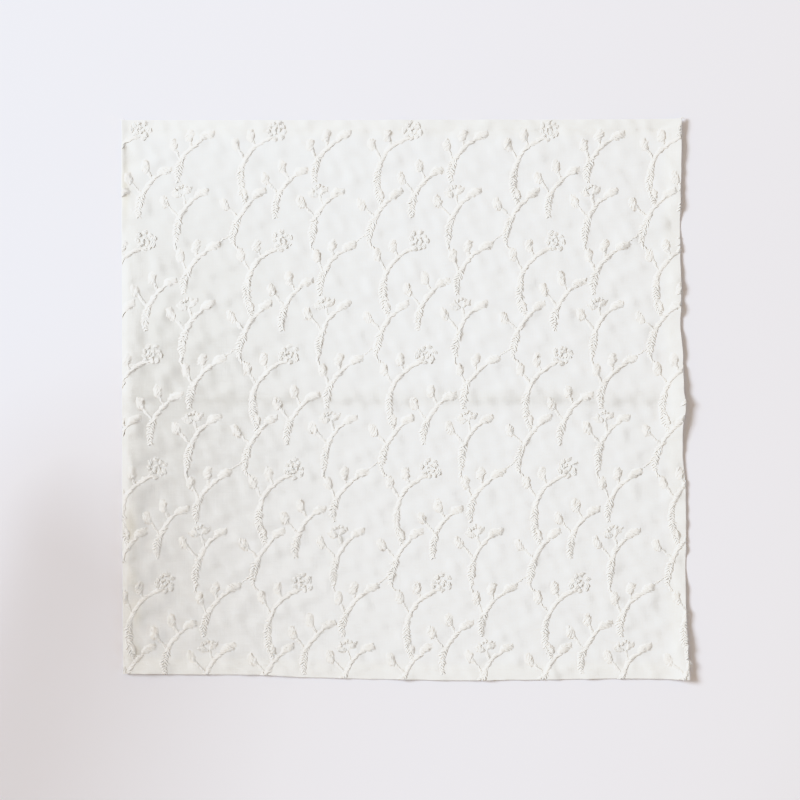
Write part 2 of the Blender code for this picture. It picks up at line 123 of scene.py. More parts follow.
# The crease where the cloth had been folded in half: a low ridge across it.
CREASE_LEFT_Y = 1.2
CREASE_RIGHT_Y = -1.0
CREASE_RISE = 0.8
CREASE_ABOVE = 14.0
CREASE_BELOW = 3.0

# Soft puckers: the middle, half the length and width, the turn of the long axis from +X in degrees, and the
# height, which is below zero for a trough. The first is the roll of the upper left hem, and the short ones at
# the end are where the hem's seam draws the cloth in.
Pucker = namedtuple("Pucker", "x y half_length half_width turn height")
PUCKERS = (
    Pucker(-201.8, 162.0, 40.0, 3.2, 90.0, 2.0),
    Pucker(-186.0, 96.0, 13.0, 5.0, 80.0, -0.59),
    Pucker(-176.0, 96.0, 14.0, 5.0, 78.0, 0.78),
    Pucker(-184.0, 60.0, 13.0, 5.0, 75.0, -0.59),
    Pucker(-173.0, 60.0, 14.0, 5.0, 72.0, 0.88),
    Pucker(-184.0, 14.0, 12.0, 5.0, 70.0, -0.59),
    Pucker(-172.0, 16.0, 13.0, 5.0, 70.0, 0.88),
    Pucker(-172.0, -10.0, 16.0, 4.0, 40.0, -0.59),
    Pucker(-178.0, 168.0, 16.0, 4.5, 32.0, 0.78),
    Pucker(-188.0, -64.0, 14.0, 6.0, 85.0, 0.68),
    Pucker(-174.0, -104.0, 14.0, 5.0, 60.0, 0.68),
    Pucker(-188.0, -154.0, 13.0, 6.0, 75.0, 0.68),
    Pucker(139.0, 52.0, 11.0, 6.0, 70.0, -0.59),
    Pucker(181.0, 48.0, 13.0, 5.0, 78.0, -0.59),
    Pucker(156.0, 108.0, 12.0, 6.0, 50.0, 0.68),
    Pucker(161.0, -154.0, 13.0, 6.0, 60.0, 0.68),
    Pucker(40.0, 24.0, 18.0, 8.0, 10.0, 0.59),
    Pucker(-70.0, 22.0, 18.0, 8.0, 5.0, 0.59),
    Pucker(-167.7, 191.0, 5.0, 2.4, 88.0, -0.59),
    Pucker(-65.9, 191.0, 5.0, 2.2, 94.0, -0.59),
    Pucker(-25.3, 191.0, 5.5, 2.4, 85.0, -0.68),
    Pucker(31.7, 191.0, 5.0, 2.4, 92.0, -0.59),
    Pucker(47.3, 191.0, 4.5, 2.0, 86.0, -0.59),
    Pucker(62.3, 191.0, 5.0, 2.4, 95.0, -0.59),
    Pucker(78.0, 191.0, 5.5, 2.4, 88.0, -0.68),
    Pucker(167.0, 191.0, 5.0, 2.4, 84.0, -0.59),
    Pucker(-157.0, -187.0, 5.0, 2.4, 85.0, -0.59),
    Pucker(-123.5, -188.0, 5.0, 2.4, 95.0, -0.59),
    Pucker(-64.4, -190.0, 5.5, 2.4, 88.0, -0.59),
    Pucker(17.4, -191.0, 5.0, 2.4, 92.0, -0.59),
    Pucker(60.2, -191.0, 5.0, 2.4, 86.0, -0.59),
    Pucker(107.9, -190.0, 5.5, 2.4, 94.0, -0.59),
    Pucker(164.8, -190.0, 5.0, 2.4, 88.0, -0.59),
)

# Slow, uneven ripples over the whole cloth.
RIPPLE_SEED = 11
RIPPLE_WAVES = 28
RIPPLE_SHORT = 8.0
RIPPLE_LONG = 30.0
RIPPLE_HEIGHT = 0.42

# How the stitches lie unevenly: waves about as long as a few stitches, which move them and squash them.
HAND_SEEDS = (31, 32, 33)
HAND_WAVES = 14
HAND_SHORT = 2.6
HAND_LONG = 7.0
HAND_SHIFT = 0.22
HAND_SQUASH = 0.22

# A darker, warmer tint over the left side, and bands along the crease, partly yellowing and partly painted
# shade.
Patch = namedtuple("Patch", "x y half_width half_height share")
TINT_AND_SHADE_PATCHES = (
    Patch(-190.0, 40.0, 130.0, 130.0, 0.9),
    Patch(-110.0, 0.0, 100.0, 6.0, 0.4),
    Patch(85.0, 0.5, 130.0, 6.5, 0.5),
)
# Yellow stains on the hem; the first is partly painted shadow beside the roll of the upper left hem.
STAINS_AND_SHADE = (
    Patch(-199.0, 150.0, 2.6, 20.0, 0.7),
    Patch(-195.5, -91.0, 4.0, 10.0, 0.7),
    Patch(-194.5, -127.0, 3.5, 6.0, 0.35),
    Patch(-192.0, -152.0, 4.0, 8.0, 0.55),
    Patch(-192.0, -180.0, 4.0, 9.0, 0.45),
)

# The grid of the cloth: its lines beside each edge, by their distance in, and the spacing between them.
RIM_LINES = (0.0, 0.1, 0.3, 0.6, 1.2, 2.4, 3.8, 5.2, 6.4, 7.0, 7.4, 7.8, 8.2, 8.6, 9.2, 10.2)
GRID_SPACING = 2.0

# The rows of the embroidery as the cloth lies: where the first blossom of a row is, and the pitch along it.
Row = namedtuple("Row", "start pitch height")
ROWS = (
    Row(-193.1, 97.1, 270.0),
    Row(-189.0, 97.1, 191.4),
    Row(-184.8, 96.9, 113.0),
    Row(-180.5, 97.3, 31.9),
    Row(-176.9, 97.3, -48.8),
    Row(-171.2, 98.3, -130.5),
    Row(-166.0, 99.0, -212.0),
)
CHART_PITCH = 97.2
CHART_DROP = 80.6
CHART_SLANT = 4.0
COLUMNS = range(-1, 5)

# One repeat of the embroidery, from its blossom's middle. A sprig's stem is a cubic from its base to its
# end, where a leaf goes on towards its tip.
Sprig = namedtuple("Sprig", "name base lean bend end leaf_tip")
SPRIGS = (
    Sprig("blossom", (-21.6, -54.0), (-30.0, -34.0), (-26.0, -15.0), (-3.6, -5.0), None),
    Sprig("left", (-31.3, -81.2), (-30.8, -68.2), (-24.1, -57.6), (-17.1, -50.6), (-7.8, -42.0)),
    Sprig("middle", (-0.7, -62.7), (-3.5, -50.0), (5.4, -39.5), (11.4, -33.5), (22.0, -26.3)),
    Sprig("right", (27.3, -37.0), (25.0, -24.0), (34.0, -14.0), (42.7, -7.5), (60.0, 4.6)),
    Sprig("fan", (25.6, -81.2), (24.6, -68.0), (31.0, -55.0), (38.4, -49.6), (47.0, -43.4)),
)

# The side twigs: the sprig that each leaves, how far along its stem, and the middle of the bud.
Twig = namedtuple("Twig", "sprig along bud_x bud_y")
TWIGS = (
    Twig("blossom", 0.80, -17.8, -3.6),
    Twig("blossom", 0.58, -29.4, -10.0),
    Twig("left", 0.50, -37.0, -54.0),
    Twig("middle", 0.86, 4.3, -26.3),
    Twig("middle", 0.45, -7.8, -34.9),
    Twig("right", 0.75, 35.6, -3.6),
    Twig("right", 0.40, 24.2, -10.6),
    Twig("fan", 0.45, 17.8, -52.0),
)

# The lines that join one sprig to the next: a fine one from a leaf's tip, and two from the feet of stems.
Join = namedtuple("Join", "half rise bends")
JOINS = (
    Join(0.7, 0.2, ((57.3, -80.9), (64.5, -75.5))),
    Join(1.4, 0.4, ((25.6, -81.2), (24.6, -84.6), (26.0, -87.6))),
    Join(1.4, 0.4, ((-31.3, -81.2), (-30.0, -84.4), (-26.6, -87.2))),
)

# Sizes of the stitching: half widths across the line, and heights above the cloth. The thick lower part of
# a stem is two strands of short slanting stitches side by side, like a plait, with padding between them.
# Where it ends and how far the thin part passes into it are shares of the stem.
THICK_UNTIL = 0.5
THICK_OVERLAP = 0.06
PADDING_HALF = 1.7
PADDING_RISE = 0.42
STRAND_OFFSET = 0.95
STRAND_HALF = 1.9
STRAND_RISE = 0.6
STRAND_LEAN = 0.75
TAPER_SHARE = 0.35
TAPER_TO = 0.45
THIN_HALF_LOW = 3.0
THIN_HALF = 2.6
THIN_RISE = 0.52
TWIG_HALF = 1.2
TWIG_RISE = 0.42
TWIG_TUCK = 0.5
SEAM_HALF = 0.7
SEAM_RISE = 0.08
STEM_POINTS = 30
SHAPE_POINTS = 14

# Forms that swell and close again: half the width, the height, where along it the form is widest, and how
# pointed it is. The very ends keep a share of the width.
Form = namedtuple("Form", "half rise widest point")
LEAF = Form(3.4, 0.92, 0.6, 0.75)
BUD = Form(3.4, 0.88, 0.52, 0.55)
SMALL_BUD = Form(1.8, 0.88, 0.5, 0.6)
PETAL = Form(1.9, 0.72, 0.55, 0.5)
HEART_KNOT = Form(1.5, 0.72, 0.55, 0.5)
LONG_PETAL = Form(2.2, 0.72, 0.5, 0.7)
SHORT_PETAL = Form(2.1, 0.72, 0.5, 0.7)
FLOWER_KNOT = Form(1.3, 0.72, 0.55, 0.5)
END_SHARE = 0.12
LEAF_LENGTH = 12.6
BUD_LENGTH = 8.8
SMALL_BUD_ENDS = ((-23.6, -42.6), (-20.6, -49.4))

# How far the lines of the chart move from where they were meant to be, as the cloth moves under the needle: a
# slow wave across and one up, each with its rate, how much the other direction bends it, and the bend's rate.
WOBBLE = 0.3
WOBBLE_LENGTH = 31.0
WOBBLE_ACROSS = (1.0, 1.9, 0.7)
WOBBLE_UP = (1.3, 1.7, 0.6)

# The blossom: short satin petals round a ring of knots, and by how much they are uneven. The places and the
# sizes are shares of the half width, and the turns are degrees.
Ring = namedtuple("Ring", "count start end form")
BLOSSOM_RINGS = (Ring(9, 3.7, 7.2, PETAL), Ring(5, 0.6, 3.0, HEART_KNOT))
BLOSSOM_SEED = 5
UNEVEN_TURN = 8.0
UNEVEN_TWIST = 7.0
UNEVEN_PLACE = 0.5
UNEVEN_SIZE = 0.15

# The half-open flower by the fan sprig: two satin petals, by their turn, start and end, and little knots on
# an arc between them, by their turn and how far out they reach.
FLOWER_FOOT = (30.5, -47.2)
FLOWER_STEM_FOOT = (32.4, -55.0)
FLOWER_PETALS = ((170.0, 0.8, 9.0, LONG_PETAL), (44.0, 0.8, 8.4, SHORT_PETAL))
FLOWER_KNOTS = ((140.0, 8.0), (117.0, 7.4), (94.0, 7.8), (70.0, 7.4))
KNOT_LENGTH = 3.0

# Stitches keep this far from the edge, and the hem draws in a line that would lie just past it.
EDGE_CLEAR = 0.8
EDGE_DRAW = 1.5
SEWING_SLACK = 0.05

# Tufts of frayed thread at the edge: where, which way they point in degrees, how many, and how long.
Tuft = namedtuple("Tuft", "x y height turn spread threads length")
TUFTS = (
    Tuft(200.9, -187.4, 4.8, 8.0, 70.0, 14, 3.4),
    Tuft(199.6, -152.8, 2.4, 0.0, 30.0, 4, 3.0),
    Tuft(196.0, 199.2, 3.2, 62.0, 60.0, 7, 3.0),
    Tuft(-201.2, 198.0, 1.6, 130.0, 60.0, 5, 2.4),
)
FRAY_SEED = 21
FRAY_WIDTH = 0.32
FRAY_POINTS = 8
FRAY_CURL = 0.9
FRAY_SHORTEST = 0.5
FRAY_ROOT_X = (-0.8, 0.0)
FRAY_ROOT_Y = (-1.2, 1.2)
FRAY_ROOT_HEIGHT = (-0.4, 0.6)
FRAY_DROOP = (0.12, 0.96)
FRAY_LOWEST = 0.3

# An arch of thread over a line, for a half width and a height of 1: where its handles are. Then how many
# sides a thread has, and how much of its looseness goes into its slant.
ARCH_SPREAD = 0.62
ARCH_TOP = 1.33
SATIN_SIDES = 4
LOOSE_SIDES = 5
SLANT_LOOSENESS = 0.8

Line = namedtuple("Line", "points halves rises leans")


def smooth(t):
    """Ease from 0 to 1 with level ends."""
    t = np.clip(t, 0.0, 1.0)
    return t * t * (3.0 - 2.0 * t)


def mix(a, b, t):
    return a + (b - a) * t


def edge_at(edge, along):
    """How far out an edge lies, and how high, at places along it."""
    knots = np.array(edge.knots)
    after = np.clip(np.searchsorted(knots[:, 0], along), 1, len(knots) - 1)
    t = smooth((along - knots[after - 1, 0]) / (knots[after, 0] - knots[after - 1, 0]))
    return mix(knots[after - 1, 1], knots[after, 1], t), mix(knots[after - 1, 2], knots[after, 2], t)


def inward(x, y):
    """For each edge in turn, how far in from it places lie, and its lift there."""
    right, right_lift = edge_at(RIGHT_EDGE, y)
    left, left_lift = edge_at(LEFT_EDGE, y)
    top, top_lift = edge_at(TOP_EDGE, x)
    bottom, bottom_lift = edge_at(BOTTOM_EDGE, x)
    depths = np.array((right - x, x - left, top - y, y - bottom))
    return depths, (right_lift, left_lift, top_lift, bottom_lift)


def depth_in(x, y):
    return inward(x, y)[0].min(axis=0)


def lifted(x, y):
    """How far the edges lift the cloth off the table."""
    depths, lifts = inward(x, y)
    return np.max([
        lift * mix(edge.rim, 1.0, smooth(depth / edge.roll))
        * (1.0 - smooth((depth - edge.roll) / (edge.reach - edge.roll)))
        for edge, depth, lift in zip(EDGES, depths, lifts)
    ], axis=0)


def crease(x, y):
    share = (x - LEFT_EDGE.knots[0].out) / (RIGHT_EDGE.knots[0].out - LEFT_EDGE.knots[0].out)
    above = y - mix(CREASE_LEFT_Y, CREASE_RIGHT_Y, share)
    width = np.where(above > 0.0, CREASE_ABOVE, CREASE_BELOW)
    return CREASE_RISE * (1.0 - smooth(np.abs(above) / width))


def puckers(x, y):
    total = 0.0
    for bump in PUCKERS:
        turn = math.radians(bump.turn)
        dx = x - bump.x
        dy = y - bump.y
        along = (dx * math.cos(turn) + dy * math.sin(turn)) / bump.half_length
        across = (dy * math.cos(turn) - dx * math.sin(turn)) / bump.half_width
        total = total + bump.height * np.exp(-(along * along + across * across))
    return total


def waves(x, y, seed, count, short, long):
    """Waves of many lengths that run in many directions, added up to a spread of about 1."""
    rng = np.random.default_rng(seed)
    total = 0.0
    for wave in range(count):
        turn = rng.uniform(0.0, math.tau)
        length = rng.uniform(short, long)
        start = rng.uniform(0.0, math.tau)
        total = total + np.cos((x * math.cos(turn) + y * math.sin(turn)) * math.tau / length + start)
    return total * math.sqrt(2.0 / count)


def underside(x, y):
    """Height of the cloth's lower face."""
    ripples = RIPPLE_HEIGHT * (1.0 + waves(x, y, RIPPLE_SEED, RIPPLE_WAVES, RIPPLE_SHORT, RIPPLE_LONG))
    return lifted(x, y) + np.maximum(0.0, crease(x, y) + puckers(x, y) + ripples)


def patched(patches, x, y):
    """How much of a discoloured patch there is at each place."""
    fresh = 1.0
    for patch in patches:
        across = (x - patch.x) / patch.half_width
        up = (y - patch.y) / patch.half_height
        fresh = fresh * (1.0 - patch.share * np.exp(-(across * across + up * up)))
    return 1.0 - fresh


def thickness(depth):
    return LAYER + HEM_RISE * smooth((HEM_WIDTH + HEM_STEP / 2.0 - depth) / HEM_STEP)


def cloth_top(x, y):
    return underside(x, y) + thickness(depth_in(x, y))


def grid_lines(low, high):
    """Places of the grid's lines between two edges: close together beside the edges, and even between."""
    rim = np.array(RIM_LINES)
    inner = np.linspace(low + rim[-1], high - rim[-1], round((high - low - 2.0 * rim[-1]) / GRID_SPACING) + 1)
    return np.concatenate((low + rim[:-1], inner, (high - rim[:-1])[::-1]))


def grid_points():
    """The grid's points, drawn out to the edges as they lie, and how far in each line lies."""
    low_x = LEFT_EDGE.knots[0].out
    high_x = RIGHT_EDGE.knots[0].out
    low_y = BOTTOM_EDGE.knots[0].out
    high_y = TOP_EDGE.knots[0].out
    x, y = np.meshgrid(grid_lines(low_x, high_x), grid_lines(low_y, high_y), indexing="ij")
    depth = np.minimum(np.minimum(x - low_x, high_x - x), np.minimum(y - low_y, high_y - y))
    inset = 2.0 * HEM_WIDTH
    share_x = smooth((x - low_x - inset) / (high_x - low_x - 2.0 * inset))
    share_y = smooth((y - low_y - inset) / (high_y - low_y - 2.0 * inset))
    shift_x = mix(edge_at(LEFT_EDGE, y)[0] - low_x, edge_at(RIGHT_EDGE, y)[0] - high_x, share_x)
    shift_y = mix(edge_at(BOTTOM_EDGE, x)[0] - low_y, edge_at(TOP_EDGE, x)[0] - high_y, share_y)
    return x + shift_x, y + shift_y, depth


def grid_faces(index, flip):
    """The squares of a grid of point numbers."""
    corners = (index[:-1, :-1], index[1:, :-1], index[1:, 1:], index[:-1, 1:])
    faces = np.stack([corner.ravel() for corner in corners], axis=1)
    return faces[:, ::-1] if flip else faces


def cloth_mesh():
    """The linen as one closed sheet with a rounded fold at its edge."""
    x, y, depth = grid_points()
    low = underside(x, y)
    thick = thickness(depth)
    fold = (LAYER + HEM_RISE) / 2.0
    swell = np.sqrt(1.0 - (1.0 - np.clip(depth / fold, 0.0, 1.0)) ** 2)
    upper = low + thick / 2.0 * (1.0 + swell)
    lower = low + thick / 2.0 * (1.0 - swell)
    rim = depth == 0.0
    upper_index = np.arange(x.size).reshape(x.shape)
    lower_index = np.where(rim, upper_index, x.size + np.cumsum(~rim.ravel()).reshape(x.shape) - 1)
    points = np.concatenate((
        np.stack((x, y, upper), axis=-1).reshape(-1, 3),
        np.stack((x, y, lower), axis=-1)[~rim],
    ))
    faces = np.concatenate((grid_faces(upper_index, False), grid_faces(lower_index, True)))
    mesh = bpy.data.meshes.new("linen_cloth")
    mesh.from_pydata(points, [], faces.tolist())
    in_hem = smooth((HEM_WIDTH + HEM_STEP - depth) / HEM_STEP)
    # The stains' share is partly painted shadow at the upper left hem.
    # The tint's share is partly painted shade along the crease.
    shares = (("hem", in_hem), ("tint_and_shade", patched(TINT_AND_SHADE_PATCHES, x, y)), ("stain_and_shade", patched(STAINS_AND_SHADE, x, y)))
    for name, share in shares:
        attribute = mesh.attributes.new(name, "FLOAT", "POINT")
        attribute.data.foreach_set("value", np.concatenate((share.ravel(), share[~rim])))
    mesh.shade_smooth()
    return mesh


def place(column, row, points):
    """Where points of the chart lie in one repeat, on the cloth as it lies."""
    down = row - points[:, 1] / CHART_DROP
    across = column + (points[:, 0] - CHART_SLANT * (down - row)) / CHART_PITCH
    rows = np.array(ROWS)
    above = np.clip(np.floor(down).astype(int) + 1, 0, len(ROWS) - 2)
    t = down + 1.0 - above
    start, pitch, height = (mix(rows[above, n], rows[above + 1, n], t) for n in range(3))
    return np.stack((start + pitch * across, height), axis=1)


def on_cloth(line):
    """The parts of a placed line that lie on the cloth, drawn in where they lie just past its edge."""
    depths = inward(line.points[:, 0], line.points[:, 1])[0]
    inside = depths.min(axis=0) > -EDGE_DRAW
    short = np.maximum(0.0, EDGE_CLEAR - depths)
    line = line._replace(points=line.points + np.stack((short[1] - short[0], short[3] - short[2]), axis=1))
    runs = np.split(np.arange(len(inside)), np.flatnonzero(np.diff(inside)) + 1)
    return [Line(*(values[run] for values in line)) for run in runs if inside[run[0]] and len(run) > 1]


def bent_wave(along, aside, rate, bend, bend_rate):
    return np.sin(rate * along + bend * np.sin(bend_rate * aside))


def wobbled(points):
    """Points moved a little from where they were meant to be."""
    x, y = points.T * math.tau / WOBBLE_LENGTH
    moved = np.stack((bent_wave(x, y, *WOBBLE_ACROSS), bent_wave(y, x, *WOBBLE_UP)), axis=1)
    return points + WOBBLE * moved


def in_every_repeat(lines, spinning=False):
    """Lines of the chart all over the cloth. Where they spin, each repeat is turned by its own angle."""
    rng = np.random.default_rng(BLOSSOM_SEED)
    placed = []
    for row in range(len(ROWS) - 2):
        for column in COLUMNS:
            turn = rng.uniform(0.0, math.tau) if spinning else 0.0
            spin = np.array(((math.cos(turn), math.sin(turn)), (-math.sin(turn), math.cos(turn))))
            for line in lines:
                points = wobbled(place(column, row, line.points @ spin))
                placed += on_cloth(line._replace(points=points))
    return placed


def even_line(points, half, rise):
    points = np.array(points, dtype=float)
    ones = np.ones(len(points))
    return Line(points, half * ones, rise * ones, 0.0 * ones)


def stem_points(sprig, first, last):
    """Points along a sprig's stem from one share of it to another."""
    t = np.linspace(first, last, STEM_POINTS)[:, None]
    base, lean, bend, end = (np.array(handle) for handle in (sprig.base, sprig.lean, sprig.bend, sprig.end))
    return (1 - t) ** 3 * base + 3 * (1 - t) ** 2 * t * lean + 3 * (1 - t) * t * t * bend + t ** 3 * end


def beside(points, offset):
    """A line moved to its left."""
    along = np.gradient(points, axis=0)
    along /= np.linalg.norm(along, axis=1)[:, None]
    return points + offset * np.stack((-along[:, 1], along[:, 0]), axis=1)


def towards(foot, aim, length):
    """The point at a length from a foot, on the way to an aim."""
    foot = np.array(foot)
    way = np.array(aim) - foot
    return foot + way * length / np.linalg.norm(way)


def straight(start, end):
    return mix(np.array(start), np.array(end), np.linspace(0.0, 1.0, SHAPE_POINTS)[:, None])


def swelling_line(foot, tip, form):
    """The line down the middle of a leaf, bud or petal, which swells from its foot and closes at its tip."""
    t = np.linspace(0.0, 1.0, SHAPE_POINTS)
    swell = np.sin(math.pi * t ** (math.log(0.5) / math.log(form.widest))) ** form.point
    swell = np.maximum(swell, END_SHARE)
    return Line(straight(foot, tip), form.half * swell, form.rise * np.sqrt(swell), 0.0 * t)


def thick_stems(offset, half, rise, lean=0.0):
    """Lines beside the thick part of each stem, which draw together and get smaller towards both ends."""
    t = np.linspace(0.0, 1.0, STEM_POINTS)
    size = mix(TAPER_TO, 1.0, smooth(np.minimum(t, 1.0 - t) / TAPER_SHARE))
    lines = []
    for sprig in SPRIGS:
        points = beside(stem_points(sprig, 0.0, THICK_UNTIL + THICK_OVERLAP), offset * size[:, None])
        lines.append(Line(points, half * np.sqrt(size), rise * np.sqrt(size), lean + 0.0 * t))
    return lines


def strands():
    left = thick_stems(STRAND_OFFSET, STRAND_HALF, STRAND_RISE, STRAND_LEAN)
    right = thick_stems(-STRAND_OFFSET, STRAND_HALF, STRAND_RISE, -STRAND_LEAN)
    return left + right


def thin_stems():
    """The upper part of each stem, which is a little wider over its lower half."""
    half = mix(THIN_HALF_LOW, THIN_HALF, smooth(np.linspace(0.0, 2.0, STEM_POINTS)))
    rise = np.full(STEM_POINTS, THIN_RISE)
    start = THICK_UNTIL - THICK_OVERLAP
    return [Line(stem_points(sprig, start, 1.0), half, rise, 0.0 * half) for sprig in SPRIGS]


def joins():
    lines = []
    for join in JOINS:
        bends = np.array(join.bends)
        way = np.linspace(0.0, len(bends) - 1.0, SHAPE_POINTS)
        points = np.stack([np.interp(way, np.arange(len(bends)), axis) for axis in bends.T], axis=1)
        lines.append(even_line(points, join.half, join.rise))
    return lines


def leaves():
    lines = []
    for sprig in SPRIGS:
        if sprig.leaf_tip:
            tip = towards(sprig.end, sprig.leaf_tip, LEAF_LENGTH)
            lines.append(swelling_line(sprig.end, tip, LEAF))
    return lines


def twig_foot(twig):
    sprig = next(sprig for sprig in SPRIGS if sprig.name == twig.sprig)
    return stem_points(sprig, 0.0, twig.along)[-1]


def twigs():
    lines = []
    for twig in TWIGS:
        foot = twig_foot(twig)
        bud = (twig.bud_x, twig.bud_y)
        reach = math.dist(foot, bud) - BUD_LENGTH / 2.0 + TWIG_TUCK
        lines.append(even_line(straight(foot, towards(foot, bud, reach)), TWIG_HALF, TWIG_RISE))
    return lines


def buds():
    lines = []
    for twig in TWIGS:
        foot = twig_foot(twig)
        bud = (twig.bud_x, twig.bud_y)
        reach = math.dist(foot, bud)
        neck = towards(foot, bud, reach - BUD_LENGTH / 2.0)
        tip = towards(foot, bud, reach + BUD_LENGTH / 2.0)
        lines.append(swelling_line(neck, tip, BUD))
    lines.append(swelling_line(*SMALL_BUD_ENDS, SMALL_BUD))
    return lines


def polar(middle, degrees, radius):
    turn = math.radians(degrees)
    return np.array(middle) + radius * np.array((math.cos(turn), math.sin(turn)))


def blossoms():
    """The petals and the knots of one blossom, set a little unevenly."""
    rng = np.random.default_rng(BLOSSOM_SEED)
    middle = (0.0, 0.0)
    lines = []
    for ring in BLOSSOM_RINGS:
        for petal in range(ring.count):
            turn = 360.0 * petal / ring.count + rng.uniform(-UNEVEN_TURN, UNEVEN_TURN)
            out = rng.uniform(-UNEVEN_PLACE, UNEVEN_PLACE) * ring.form.half
            foot = polar(middle, turn, ring.start + out)
            tip = polar(middle, turn + rng.uniform(-UNEVEN_TWIST, UNEVEN_TWIST), ring.end + out)
            half = ring.form.half * rng.uniform(1.0 - UNEVEN_SIZE, 1.0 + UNEVEN_SIZE)
            lines.append(swelling_line(foot, tip, ring.form._replace(half=half)))
    return lines


def flower_petals():
    lines = []
    for turn, start, end, form in FLOWER_PETALS:
        foot = polar(FLOWER_FOOT, turn, start)
        tip = polar(FLOWER_FOOT, turn, end)
        lines.append(swelling_line(foot, tip, form))
    for turn, radius in FLOWER_KNOTS:
        foot = polar(FLOWER_FOOT, turn, radius - KNOT_LENGTH)
        tip = polar(FLOWER_FOOT, turn, radius)
        lines.append(swelling_line(foot, tip, FLOWER_KNOT))
    return lines


def flower_stems():
    return [even_line(straight(FLOWER_STEM_FOOT, FLOWER_FOOT), TWIG_HALF, TWIG_RISE)]


def hem_seam():
    """The line of the hem's stitching, all the way round the cloth."""
    inset = HEM_SEAM_INSET
    low_x = LEFT_EDGE.knots[0].out + inset
    high_x = RIGHT_EDGE.knots[0].out - inset
    low_y = BOTTOM_EDGE.knots[0].out + inset
    high_y = TOP_EDGE.knots[0].out - inset
    x = np.arange(low_x, high_x, GRID_SPACING)
    y = np.arange(low_y, high_y, GRID_SPACING)
    sides = (
        np.stack((x, edge_at(BOTTOM_EDGE, x)[0] + inset), axis=1),
        np.stack((edge_at(RIGHT_EDGE, y)[0] - inset, y), axis=1),
        np.stack((x, edge_at(TOP_EDGE, x)[0] - inset), axis=1),
        np.stack((edge_at(LEFT_EDGE, y)[0] + inset, y), axis=1),
    )
    return [even_line(side, SEAM_HALF, SEAM_RISE) for side in sides]


class Tree:
    """A Geometry Nodes tree in the making, which takes lines and gives stitches."""

    def __init__(self, name, sizes):
        self.group = bpy.data.node_groups.new(name, "GeometryNodeTree")
        self.group.interface.new_socket("Lines", in_out="INPUT", socket_type="NodeSocketGeometry")
        for label in sizes:
            self.group.interface.new_socket(label, in_out="INPUT", socket_type="NodeSocketFloat")
        self.group.interface.new_socket("Seed", in_out="INPUT", socket_type="NodeSocketInt")
        self.group.interface.new_socket("Thread", in_out="INPUT", socket_type="NodeSocketMaterial")
        self.group.interface.new_socket("Stitches", in_out="OUTPUT", socket_type="NodeSocketGeometry")
        self.given = self.group.nodes.new("NodeGroupInput").outputs

    def node(self, kind, sockets=None, **settings):
        """Adds a node with its settings, and fills its sockets with values or with other nodes' outputs."""
        node = self.group.nodes.new(kind)
        for name, value in settings.items():
            setattr(node, name, value)
        for key, value in (sockets or {}).items():
            if isinstance(value, bpy.types.NodeSocket):
                self.group.links.new(value, node.inputs[key])
            else:
                node.inputs[key].default_value = value
        return next(output for output in node.outputs if output.enabled)

    def math(self, operation, first, second=0.0):
        return self.node("ShaderNodeMath", {0: first, 1: second}, operation=operation)

    def vector(self, x, y, z):
        return self.node("ShaderNodeCombineXYZ", {0: x, 1: y, 2: z})

    def carried(self, name):
        """A number that the lines carry."""
        return self.node("GeometryNodeInputNamedAttribute", {"Name": name}, data_type="FLOAT")

    def uneven(self, middle, share, seed_step):
        """A number that differs a little from stitch to stitch."""
        low = self.math("SUBTRACT", middle, share)
        high = self.math("ADD", middle, share)
        seed = self.math("ADD", self.given["Seed"], float(seed_step))
        return self.node("FunctionNodeRandomValue", {2: low, 3: high, "Seed": seed}, data_type="FLOAT")

    def spaced_points(self):
        """The lines as curves, with a point for each stitch."""
        curves = self.node("GeometryNodeMeshToCurve", {"Mesh": self.given["Lines"]})
        sockets = {"Curve": curves, "Length": self.given["Spacing"]}
        return self.node("GeometryNodeResampleCurve", sockets, mode="LENGTH")

    def turned_along(self, turn):
        """The direction of the line at each stitch, turned further by its own angles."""
        tangent = self.node("GeometryNodeInputTangent")
        sockets = {"Vector": tangent}
        along = self.node("FunctionNodeAlignRotationToVector", sockets, axis="X", pivot_axis="Z")
        by = self.node("FunctionNodeEulerToRotation", {"Euler": turn})
        sockets = {"Rotation": along, "Rotate By": by}
        return self.node("FunctionNodeRotateRotation", sockets, rotation_space="LOCAL")

    def sew(self, points, stitch, rotation, scale):
        """Puts a stitch at each point and ends the tree."""
        sockets = {"Points": points, "Instance": stitch, "Rotation": rotation, "Scale": scale}
        self.end(self.node("GeometryNodeInstanceOnPoints", sockets))

    def end(self, threads):
        solid = self.node("GeometryNodeRealizeInstances", {"Geometry": threads})
        rounded = self.node("GeometryNodeSetShadeSmooth", {"Geometry": solid})
        sockets = {"Geometry": rounded, "Material": self.given["Thread"]}
        covered = self.node("GeometryNodeSetMaterial", sockets)
        self.group.links.new(covered, self.group.nodes.new("NodeGroupOutput").inputs["Stitches"])


